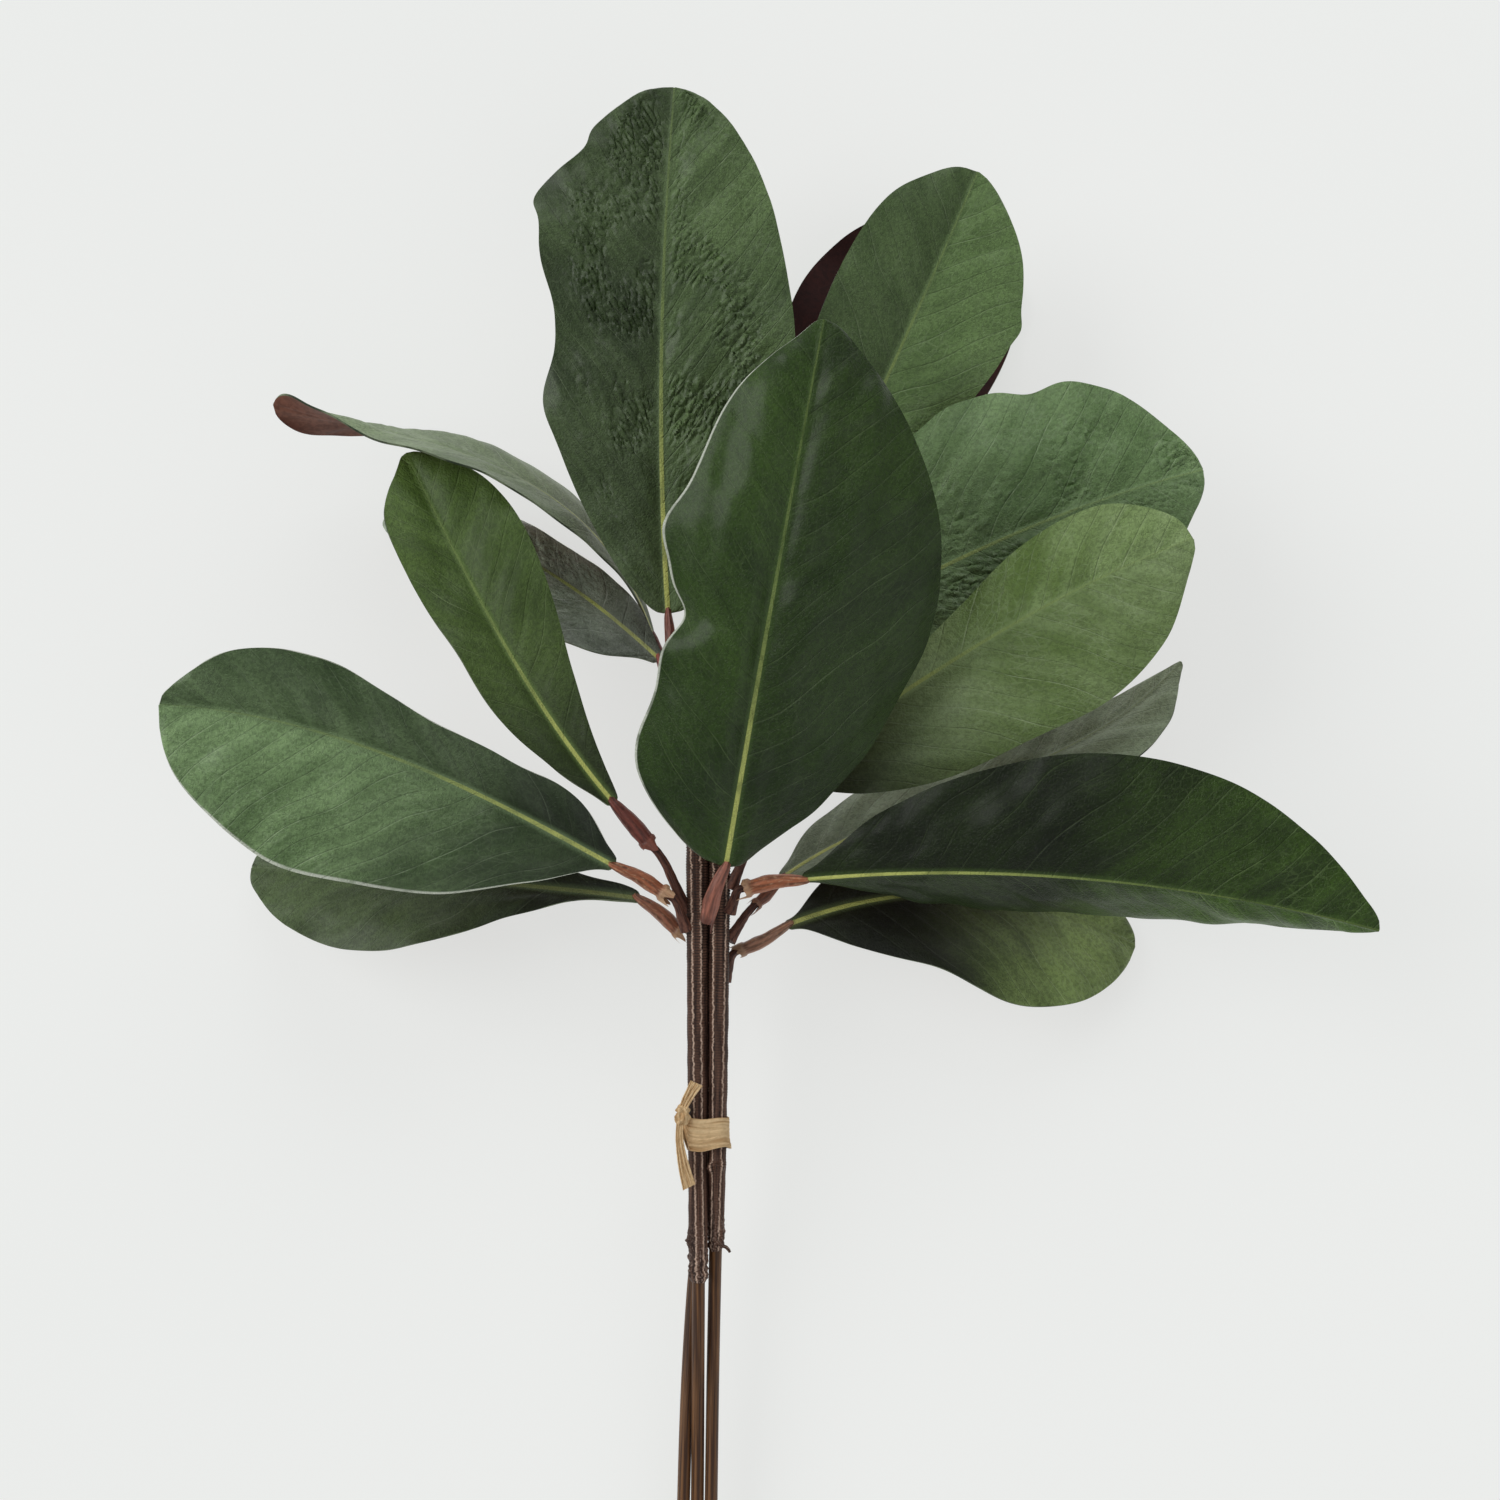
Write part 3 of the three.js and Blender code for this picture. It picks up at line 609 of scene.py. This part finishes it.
def blade(leaf, s, v):
    """Middle surface at s along the midrib and v across it, the outward normal there, and the
    distance from the midrib. All in millimetres."""
    base, tip, face = (numpy.array(leaf[key], float) for key in ("base", "tip", "face"))
    chord = tip - base
    along = unit(chord)
    face = unit(face - along * (face @ along))
    side = numpy.cross(along, face)
    bows = [face * leaf["rise"][k] + side * leaf["sway"][k] for k in (0, 1)]
    knots = [base, base + chord / 3 + bows[0], base + chord * 2 / 3 + bows[1], tip]
    t = s[:, None]
    rib = ((1 - t) ** 3 * knots[0] + 3 * (1 - t) ** 2 * t * knots[1]
           + 3 * (1 - t) * t ** 2 * knots[2] + t ** 3 * knots[3])
    run = unit((1 - t) ** 2 * (knots[1] - knots[0]) + 2 * (1 - t) * t * (knots[2] - knots[1])
               + t ** 2 * (knots[3] - knots[2]))
    normal = unit(face - run * (run @ face)[:, None])
    across = numpy.cross(run, normal)
    start, end, power = leaf.get("twist", (0, 0, 1))
    turn = numpy.radians(start + (end - start) * t ** power)
    up = normal * numpy.cos(turn) + across * numpy.sin(turn)
    out = across * numpy.cos(turn) - normal * numpy.sin(turn)
    far = numpy.abs(v)
    right = v > 0
    width = numpy.where(right, half_width(leaf["right"], s), half_width(leaf["left"], s))
    (height, count, offset) = (
        numpy.where(right, leaf["wave"][1][k], leaf["wave"][0][k]) for k in range(3))
    lift = (height * far ** 2 * numpy.sin(2 * math.pi * (count * s + offset))
            * numpy.sin(math.pi * s) ** 0.6)
    for hand, middle, outward, upward, spread in leaf.get("bites", ()):
        near = numpy.exp(-((s - middle) / spread) ** 2) * (right == (hand > 0))
        width = width + outward * near
        lift = lift + upward * near * far ** 4
    fold, curl = (numpy.radians(numpy.where(right, leaf[k][1], leaf[k][0])) for k in ("fold", "curl"))
    lean = fold + curl * far
    flat = width * (numpy.sin(lean) - numpy.sin(fold)) / curl
    lift = lift + width * (numpy.cos(fold) - numpy.cos(lean)) / curl
    point = rib + out * (numpy.sign(v) * flat)[:, None] + up * lift[:, None]
    tilt = up * numpy.cos(lean)[:, None] - out * (numpy.sign(v) * numpy.sin(lean))[:, None]
    return point, tilt, width * far, numpy.linalg.norm(chord)


def blade_skin(name, leaf):
    """The coated green upper side: mottled, with midrib, side veins and stamped grain."""
    dark, light = leaf["green"]
    material, tree, shader = finish(name, leaf["gloss"] + 0.15, 0.22)
    shader.inputs["Coat Weight"].default_value = leaf.get("polish", 0.4)
    shader.inputs["Coat Roughness"].default_value = leaf["gloss"] - 0.02
    where = node(tree, "TexCoord").outputs["Object"]
    lines = node(tree, "SeparateXYZ", {0: node(tree, "UVMap", uv_map="veins").outputs[0]}).outputs
    chart = node(tree, "SeparateXYZ", {0: node(tree, "UVMap", uv_map="blade").outputs[0]}).outputs
    from_rib = times(tree, lines[0], 100)
    along = chart[1]
    core = math_node(tree, "DIVIDE", from_rib, ramp(tree, along, 0, 1, 0.75, 0.25))
    halo = math_node(tree, "DIVIDE", from_rib, ramp(tree, along, 0, 1, 2.4, 0.9))
    core = ramp(tree, core, 1.25, 0.7)
    halo = ramp(tree, halo, 1.3, 0.3)
    phase = times(tree, lines[1], 100)
    turn = math_node(tree, "FRACT", phase)
    off = math_node(tree, "ABSOLUTE", math_node(tree, "SUBTRACT", turn, 0.5))
    to_vein = math_node(tree, "SUBTRACT", 0.5, off)
    one = node(tree, "TexWhiteNoise", {"W": math_node(tree, "ROUND", phase)},
               noise_dimensions="1D").outputs["Value"]
    broken = grain(tree, where, 90, 3)
    strength = times(tree, ramp(tree, one, 0, 1, 0.35, 1),
                     ramp(tree, broken, 0.35, 0.6, 0.2, 1))
    vein = times(tree, ramp(tree, to_vein, 0.034, 0.01), strength)
    cloud = grain(tree, where, 15, 3, 0.3)
    # Stripes along the side veins, partly painted pleat shading: crests lighter, valleys darker.
    stripe_and_pleat_shade = grain(tree, node(tree, "CombineXYZ", {
        0: times(tree, phase, 0.8), 1: times(tree, from_rib, 0.03),
    }).outputs[0], 1.3, 3)
    fine = grain(tree, where, 760, 4, 0.5)
    tone = math_node(tree, "ADD", times(tree, cloud, 0.6), times(tree, stripe_and_pleat_shade, 0.4))
    green = mixed(tree, ramp(tree, tone, 0.3, 0.7), shade(*dark), shade(*light))
    green = mixed(tree, ramp(tree, fine, 0.42, 0.62, 0, 0.3), green, shade(*(0.6 * c for c in dark)))
    foot, tip, left, right = leaf.get("tones", (1, 1, 1, 1))
    # The green is made lighter or darker toward the foot, the tip and each side: painted light and
    # shade for the shadows and sheen on each leaf.
    painted_shade_scale = times(tree, ramp(tree, along, *leaf.get("turning", (0, 0.8)), foot, tip),
                ramp(tree, chart[0], 0.42, 0.58, left, right))
    net = node(tree, "TexVoronoi", {"Scale": 1, "Vector": node(tree, "CombineXYZ", {
        0: times(tree, phase, 3.2), 1: times(tree, from_rib, 0.28),
    }).outputs[0]}, feature="DISTANCE_TO_EDGE").outputs["Distance"]
    net = times(tree, ramp(tree, net, 0.09, 0.01), ramp(tree, broken, 0.35, 0.65, 0.04, 0.2))
    pale = [0.8 * c + 44 for c in light]
    green = mixed(tree, net, green, shade(*pale))
    green = mixed(tree, times(tree, vein, 0.6), green, shade(*pale))
    green = node(tree, "VectorMath", {0: green, "Scale": painted_shade_scale}, operation="SCALE").outputs[0]
    mid = [(a + 2 * b) / 3 + 26 for a, b in zip(dark, light)]
    beside = times(tree, halo, ramp(tree, along, 0.1, 0.95, 0.55, 0.3))
    green = mixed(tree, beside, green, shade(*mid))
    bright = mixed(tree, ramp(tree, along, 0.05, 0.6), shade(206, 212, 118), shade(140, 160, 88))
    rib = leaf.get("rib", 1)
    seen = times(tree, core, ramp(tree, along, 0.2, 0.8, 0.95 * rib, 0.3 * rib))
    green = mixed(tree, times(tree, seen, ramp(tree, broken, 0.3, 0.55, 0.5, 1)), green, bright)
    hand = leaf.get("pale_edge", 0)
    if hand:
        shown = ramp(tree, times(tree, math_node(tree, "SUBTRACT", chart[0], 0.5), hand),
                     0.488, 0.494)
        green = mixed(tree, times(tree, shown, ramp(tree, broken, 0.3, 0.5, 0.4, 0.9)),
                      green, shade(214, 220, 204))
    tree.links.new(green, shader.inputs["Base Color"])
    leather = node(tree, "TexVoronoi", {"Vector": where, "Scale": 900},
                   feature="DISTANCE_TO_EDGE").outputs["Distance"]
    relief = math_node(tree, "MULTIPLY_ADD", ramp(tree, leather, 0, 0.3), 0.22,
                       times(tree, fine, 0.4))
    relief = math_node(tree, "SUBTRACT", relief, times(tree, ramp(tree, to_vein, 0.06, 0.0), 0.4))
    bump = node(tree, "Bump", {"Height": relief, "Strength": 0.75, "Distance": 0.0009})
    tree.links.new(bump.outputs[0], shader.inputs["Normal"])
    return material


def under_skin(name, dark, light):
    """The coated rust brown under side, with a fine fibre."""
    material, tree, shader = finish(name, 0.7, 0.25)
    where = node(tree, "TexCoord").outputs["Object"]
    fibre = grain(tree, where, 500, 4, 0.4)
    rust = mixed(tree, ramp(tree, grain(tree, where, 30, 3), 0.3, 0.7), shade(*dark), shade(*light))
    rust = mixed(tree, ramp(tree, fibre, 0.4, 0.65, 0, 0.4), rust, shade(*(0.6 * c for c in dark)))
    tree.links.new(rust, shader.inputs["Base Color"])
    bump = node(tree, "Bump", {"Height": fibre, "Strength": 0.4, "Distance": 0.0003})
    tree.links.new(bump.outputs[0], shader.inputs["Normal"])
    return material


def cut_rim(name, dark, light):
    """The cut edge, where the cloth shows through the coat."""
    material, tree, shader = finish(name, 0.7, 0.3)
    where = node(tree, "TexCoord").outputs["Object"]
    edge = mixed(tree, ramp(tree, grain(tree, where, 90, 3), 0.35, 0.65), shade(*dark), shade(*light))
    tree.links.new(edge, shader.inputs["Base Color"])
    return material


rust_side = under_skin("rust_underside", (88, 50, 40), (134, 88, 70))
# The back leaf's underside is a darker copy of the rust one: painted shade.
shaded_rust_side = under_skin("rust_underside_painted_shade", (40, 16, 14), (66, 30, 26))
green_rim = cut_rim("green_rim", (46, 58, 38), (120, 132, 104))
white_rim = cut_rim("white_rim", (130, 140, 118), (228, 230, 220))


def rough_at(spots):
    """Smooth noise, from about -1 to 1, at each spot."""
    return numpy.array([noise.noise(Vector(spot)) for spot in spots])


def pebble(spot):
    """Height of the stamped grain at a spot, from 0 in the creases to 1 on the pebbles."""
    near = noise.voronoi(spot)[0]
    dome = min(1.0, (near[1] - near[0]) / 0.55)
    return dome * (2 - dome)


for tail, leaf in LEAVES.items():
    piece = grid(f"blade_{tail}", *STAMPED_MESH.get(tail, BLADE_MESH), "blade")
    mesh = piece.data
    flat = numpy.empty(len(mesh.vertices) * 3)
    mesh.vertices.foreach_get("co", flat)
    flat = flat.reshape(-1, 3)
    even = numpy.clip(flat[:, 1] + 0.5, 0, 1)
    s = 0.35 * (1 - numpy.cos(math.pi * even)) / 2 + 0.65 * even
    v = numpy.sign(flat[:, 0]) * numpy.abs(2 * flat[:, 0]) ** 1.25
    point, normal, from_rib, long = blade(leaf, s, v)
    far = numpy.abs(v)
    wobble = rough_at(Vector(p) / 25 for p in point)
    branch = s * long - leaf.get("slant", 0.85) * from_rib - 0.003 * from_rib ** 2
    phase = branch / VEIN_SPACING + 0.45 * (v > 0) + 0.5 * wobble + 12
    near_vein = 0.5 - numpy.abs(phase % 1 - 0.5)
    pucker = numpy.array([noise.fractal(Vector(p) / 3.2, 0.6, 2.2, 2) for p in point])
    swell = rough_at(Vector(p) / 16 + Vector((5, 0, 0)) for p in point)
    pleat = rough_at((q * 0.8, f * 0.03, 3) for q, f in zip(phase, from_rib))
    crimp = rough_at((q * 2.6, f * 0.05, 6) for q, f in zip(phase, from_rib))
    folds = rough_at((f / 9, g * 2.6, 4 + (h > 0)) for f, g, h in zip(from_rib, s, v))
    billow = leaf.get("billow", 1)
    away = 1 - numpy.exp(-(from_rib / 5) ** 2)
    inner = numpy.clip(1 - far ** 6, 0, 1)
    relief = RIDGE_HEIGHT * numpy.exp(-(from_rib / RIDGE_WIDTH) ** 2)
    relief -= GUTTER_DEPTH * numpy.exp(-(from_rib / GUTTER_WIDTH) ** 2) * (1 - 0.5 * s)
    valley = leaf.get("valley", 0.3) * numpy.sin(math.pi * s)
    relief -= valley * numpy.exp(-(from_rib / VALLEY_WIDTH) ** 2)
    relief += away * inner * (0.28 * numpy.sqrt(near_vein) + billow * (1.3 * pleat + 0.4 * crimp))
    relief += leaf.get("roll", 0.4) * away * inner * folds
    relief += away * inner * (0.06 + 0.12 * leaf["pebble"]) * pucker + 1.5 * billow * away * swell
    if tail in STAMPED_MESH:
        cells = numpy.array([
            pebble(Vector((q * VEIN_SPACING / PEBBLE[0], f / PEBBLE[1], 9 * (f > 0) * (g > 0))))
            for q, f, g in zip(phase, from_rib, v)
        ])
        patches = rough_at(Vector(p) / 17 + Vector((0, 3, 7)) for p in point)
        where_stamped = numpy.clip(0.75 + 2.4 * patches, 0, 1) * numpy.clip((0.86 - far) / 0.2, 0.08, 1)
        where_stamped *= numpy.clip((s - 0.12) / 0.2, 0, 1) * numpy.clip((from_rib - 1.5) / 2, 0, 1)
        relief += STAMP_DEPTH * leaf["pebble"] * where_stamped * (cells - 0.7)
    point = point + normal * relief[:, None]
    mesh.vertices.foreach_set("co", point.ravel())
    veins = mesh.uv_layers.new(name="veins")
    corners = numpy.empty(len(mesh.loops), int)
    mesh.loops.foreach_get("vertex_index", corners)
    veins.data.foreach_set("uv", numpy.stack([from_rib / 100, phase / 100], 1)[corners].ravel())
    mesh.update()
    solid = piece.modifiers.new("thickness", "SOLIDIFY")
    solid.thickness = BLADE_THICKNESS
    solid.offset = 0
    solid.material_offset = 1
    solid.material_offset_rim = 2
    mesh.materials.append(blade_skin(f"green_{tail}", leaf))
    mesh.materials.append(shaded_rust_side if tail == "back" else rust_side)
    mesh.materials.append(white_rim if tail in ("front", "left_front") else green_rim)
    bpy.ops.object.modifier_apply(modifier=solid.name)
    settle(piece, f"leaf_{tail}", "leaf")


# Tie. A strip of brown kraft paper ribbon drawn round the three stems and knotted at the left,
# gathered into the knot, with its two creased ends left short.
RIBBON_THICKNESS = 0.35
BAND_OFFSET = 0.85
BAND_TOP = 6.1
BAND_FOOT_AT = (0, 1.2, 2.8, 6, 12, 15, 18, 26, 43, 47)  # round the stems from the knot
BAND_FOOT = (3.6, 0.2, -4.9, -5.0, -4.2, -3.7, -4.4, -5.4, -5.4, 2)  # lower edge there


def kraft(name, chart):
    """Brown kraft paper with fine lengthwise creases."""
    material, tree, shader = finish(name, 0.7, 0.3)
    where = node(tree, "TexCoord").outputs["Object"]
    lines = node(tree, "SeparateXYZ", {0: node(tree, "UVMap", uv_map=chart).outputs[0]}).outputs
    spot = node(tree, "CombineXYZ", {
        0: times(tree, lines[0], 9), 1: times(tree, lines[1], 2.4),
    }).outputs[0]
    crease = grain(tree, spot, 1, 4, 0.6)
    fibre = grain(tree, where, 700, 3)
    tan = mixed(tree, ramp(tree, crease, 0.34, 0.62), shade(186, 148, 102), shade(234, 204, 158))
    tan = mixed(tree, ramp(tree, fibre, 0.4, 0.7, 0, 0.3), tan, shade(176, 142, 100))
    tree.links.new(tan, shader.inputs["Base Color"])
    height = math_node(tree, "MULTIPLY_ADD", fibre, 0.3, crease)
    bump = node(tree, "Bump", {"Height": height, "Strength": 0.7, "Distance": 0.0006})
    tree.links.new(bump.outputs[0], shader.inputs["Normal"])
    return material


paper = kraft("kraft_paper", "strip")


def ribbon(name, at, across, along):
    """A strip shaped by at(u, v): u from -1 to 1 across it, v from 0 to 1 along it."""
    piece = grid(name, across, along, "strip")
    for vertex in piece.data.vertices:
        vertex.co = at(vertex.co.x * 2, vertex.co.y + 0.5)
    return piece


def thicken(piece, thickness):
    """Gives the strip its thickness, and points its faces outwards."""
    solid = piece.modifiers.new("thickness", "SOLIDIFY")
    solid.thickness = thickness
    solid.offset = 0
    bpy.ops.object.modifier_apply(modifier=solid.name)
    bpy.ops.object.mode_set(mode="EDIT")
    bpy.ops.mesh.select_all(action="SELECT")
    bpy.ops.mesh.normals_make_consistent(inside=False)
    bpy.ops.object.mode_set(mode="OBJECT")


centres = [Vector((points[3][0], points[3][2])) for points in STEMS.values()]
radii = [wrap["radius"][1] + BAND_OFFSET for wrap in WRAPS.values()]
KNOT_TURN = 168
HULL_STEPS = 720
hull = []
for step in range(HULL_STEPS + 1):
    turn = math.radians(KNOT_TURN - step / 2)
    aim = Vector((math.cos(turn), math.sin(turn)))
    centre, radius = max(zip(centres, radii), key=lambda c: c[0].dot(aim) + c[1])
    hull.append((centre + aim * radius, aim))
travelled = numpy.cumsum([0] + [(q[0] - p[0]).length for p, q in zip(hull, hull[1:])])


def round_the_stems(u, v):
    """The band runs from the knot over the front to the right and back behind the stems."""
    gone = v * travelled[-1]
    k = min(max(int(numpy.searchsorted(travelled, gone)), 1), HULL_STEPS)
    part = (gone - travelled[k - 1]) / max(travelled[k] - travelled[k - 1], 1e-6)
    spot, aim = hull[k - 1][0].lerp(hull[k][0], part), hull[k][1]
    gather = math.exp(-(gone / 5.2) ** 2) + math.exp(-((travelled[-1] - gone) / 4) ** 2)
    foot = numpy.interp(gone, BAND_FOOT_AT, BAND_FOOT)
    high = foot + (BAND_TOP - foot) * (u + 1) / 2 + 0.25 * math.sin(gone * 0.55 + 0.5)
    fan = u * 3.4 - 0.05 * gone * (1 - u)
    crease = noise.noise(Vector((fan, gone * 0.1, 2)))
    crease += 0.6 * noise.noise(Vector((fan * 2.7, gone * 0.16, 5)))
    corner = math.exp(-((gone - 18) / 3) ** 2 - ((u + 1) / 0.5) ** 2)
    out = (0.16 + 0.6 * gather) * crease + 0.5 * gather + 0.7 * corner
    return Vector((spot.x + aim.x * out, high, spot.y + aim.y * out))


band = ribbon("ribbon_band", round_the_stems, 44, 260)
bpy.ops.object.mode_set(mode="EDIT")
bpy.ops.mesh.select_all(action="SELECT")
bpy.ops.mesh.remove_doubles(threshold=0.001)
bpy.ops.object.mode_set(mode="OBJECT")
thicken(band, RIBBON_THICKNESS)
settle(band, "tie_band", "ribbon", paper)


def knot_outline(t, angle):
    """A wound lump: two turns of gathered ribbon cross over it."""
    body = 2.5 * math.sin(math.pi * min(max(t, 0.001), 0.999)) ** 0.5
    turn = 0.16 * math.sin(5 * angle + 9 * t) + 0.12 * math.sin(9 * angle - 14 * t)
    waist = -0.3 * math.exp(-((t - 0.42) / 0.1) ** 2)
    return t, max(0.05, body * (1 + turn + waist))


knot = rolled("ribbon_knot", [(-8.9, 11.4, 5.0), (-8.6, 7.6, 5.3), (-9.7, 3.6, 4.9)],
              knot_outline, 46, 40)
knot.data.uv_layers[0].name = "strip"
settle(knot, "tie_knot", "ribbon", paper)

TAILS = {
    "upper": dict(line=((-8.8, 9.2, 5.6), (-7.3, 12.6, 6.1), (-5.6, 15.6, 6.0), (-3.9, 18.3, 5.5)),
                  across=(0.8, -0.6, 0), width=(2.4, 3.0, 3.4, 4.4), pleats=1.5, cut=0.25),
    "lower": dict(line=((-9.6, 5.4, 5.4), (-9.7, -1, 5.8), (-8.4, -9, 6.1), (-6.4, -16.8, 5.7)),
                  across=(0.97, 0.22, 0), width=(2.2, 2.6, 3.6, 4.6), pleats=1.5, cut=0.3),
}
for tail, strip in TAILS.items():
    middle_line = line_through(strip["line"], 60)
    across = Vector(strip["across"])

    def tail_at(u, v):
        middle = middle_line[round(v * 60)]
        half = numpy.interp(v, (0, 0.33, 0.66, 1), strip["width"]) / 2
        fold = 0.75 * abs(math.sin(math.pi * (strip["pleats"] * u + 0.15))) * (1 - 0.35 * v)
        rough = 0.25 * noise.noise(Vector((u * 3, v * 6, 8 + middle.y)))
        slant = strip["cut"] * u * v * across.cross(Vector((0, 0, 1))) * -2
        return middle + across * (u * half) + Vector((0, 0, fold + rough)) + slant

    piece = ribbon(f"ribbon_tail_{tail}", tail_at, 26, 60)
    thicken(piece, RIBBON_THICKNESS)
    settle(piece, f"tie_tail_{tail}", "ribbon", paper)
